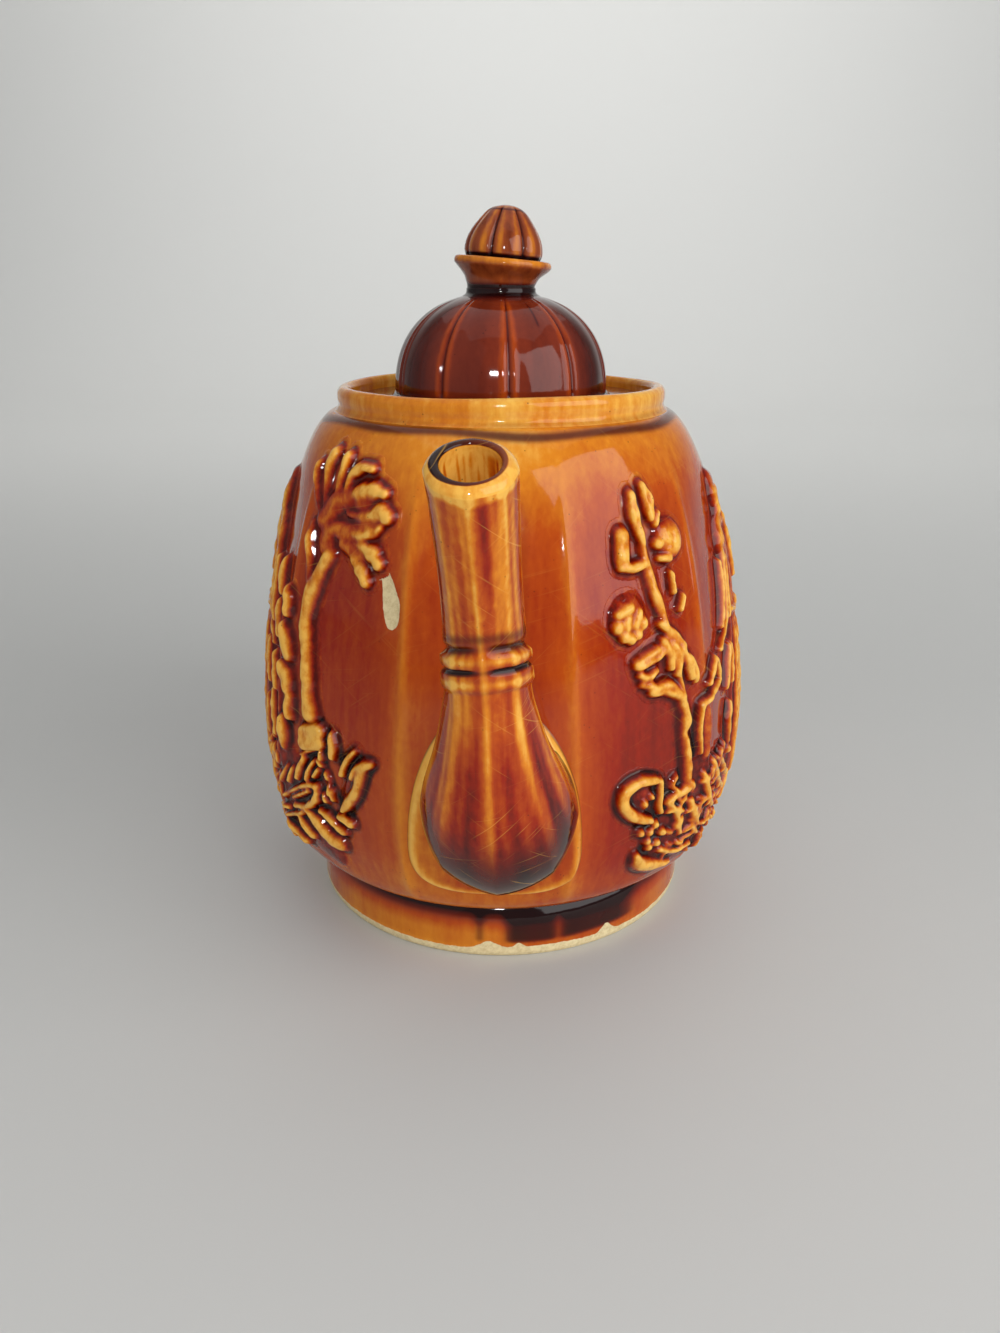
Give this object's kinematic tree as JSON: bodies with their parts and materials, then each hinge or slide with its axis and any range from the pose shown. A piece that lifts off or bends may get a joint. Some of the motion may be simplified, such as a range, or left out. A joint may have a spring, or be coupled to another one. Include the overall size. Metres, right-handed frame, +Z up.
{
  "type": "stoneware teapot",
  "caption": "Ten-panelled stoneware teapot on a foot ring, with relief sprigs, a faceted spout, a loop handle and a lobed lid that lifts off.",
  "frame": {"origin": "on the axis of the pot at the foot of the foot ring", "axes": "+Z up along the axis of the pot and the lift of the lid, spout towards -Y, handle towards +Y"},
  "size_m": [0.1474, 0.2314, 0.1952],
  "materials": {
    "treacle_glaze": "glossy red-brown treacle glaze, amber on the ribs",
    "amber_glaze": "glossy amber glaze, thin over the clay",
    "foot_glaze": "glossy brown glaze that stops above a bare cream clay edge",
    "spout_glaze": "glossy amber-brown glaze, amber on the ridges",
    "relief_glaze": "glossy amber glaze, near black where it pools",
    "lid_glaze": "glossy dark red-brown glaze, amber beside the grooves",
    "knob_glaze": "glossy brown glaze, amber on the lobes"
  },
  "bodies": {
    "pot": {"body_shell": "treacle_glaze", "foot_ring": "foot_glaze", "gallery_collar": "amber_glaze", "spout": "spout_glaze", "spout_pad": "amber_glaze", "spout_strainer": "spout_glaze", "handle": "spout_glaze", "thumb_rest": "relief_glaze", "palm_tree": "relief_glaze", "palm_rock": "relief_glaze", "palm_undergrowth": "relief_glaze", "palm_curled_leaf": "relief_glaze", "climber": "relief_glaze", "tree_stump": "relief_glaze", "climber_undergrowth": "relief_glaze", "climber_curled_leaf": "relief_glaze", "left_figure": "relief_glaze", "right_figure": "relief_glaze", "left_side_tree": "relief_glaze", "right_side_tree": "relief_glaze"},
    "lid": {"lid_flange": "lid_glaze", "lid_bezel": "lid_glaze", "lid_dome": "lid_glaze", "knob_flange": "knob_glaze", "knob_bud": "knob_glaze"}
  },
  "joints": [
    {"name": "lid_lift", "type": "slide", "parent": "pot", "child": "lid", "axis": [0, 0, 1], "range_m": [0, 0.1]}
  ]
}
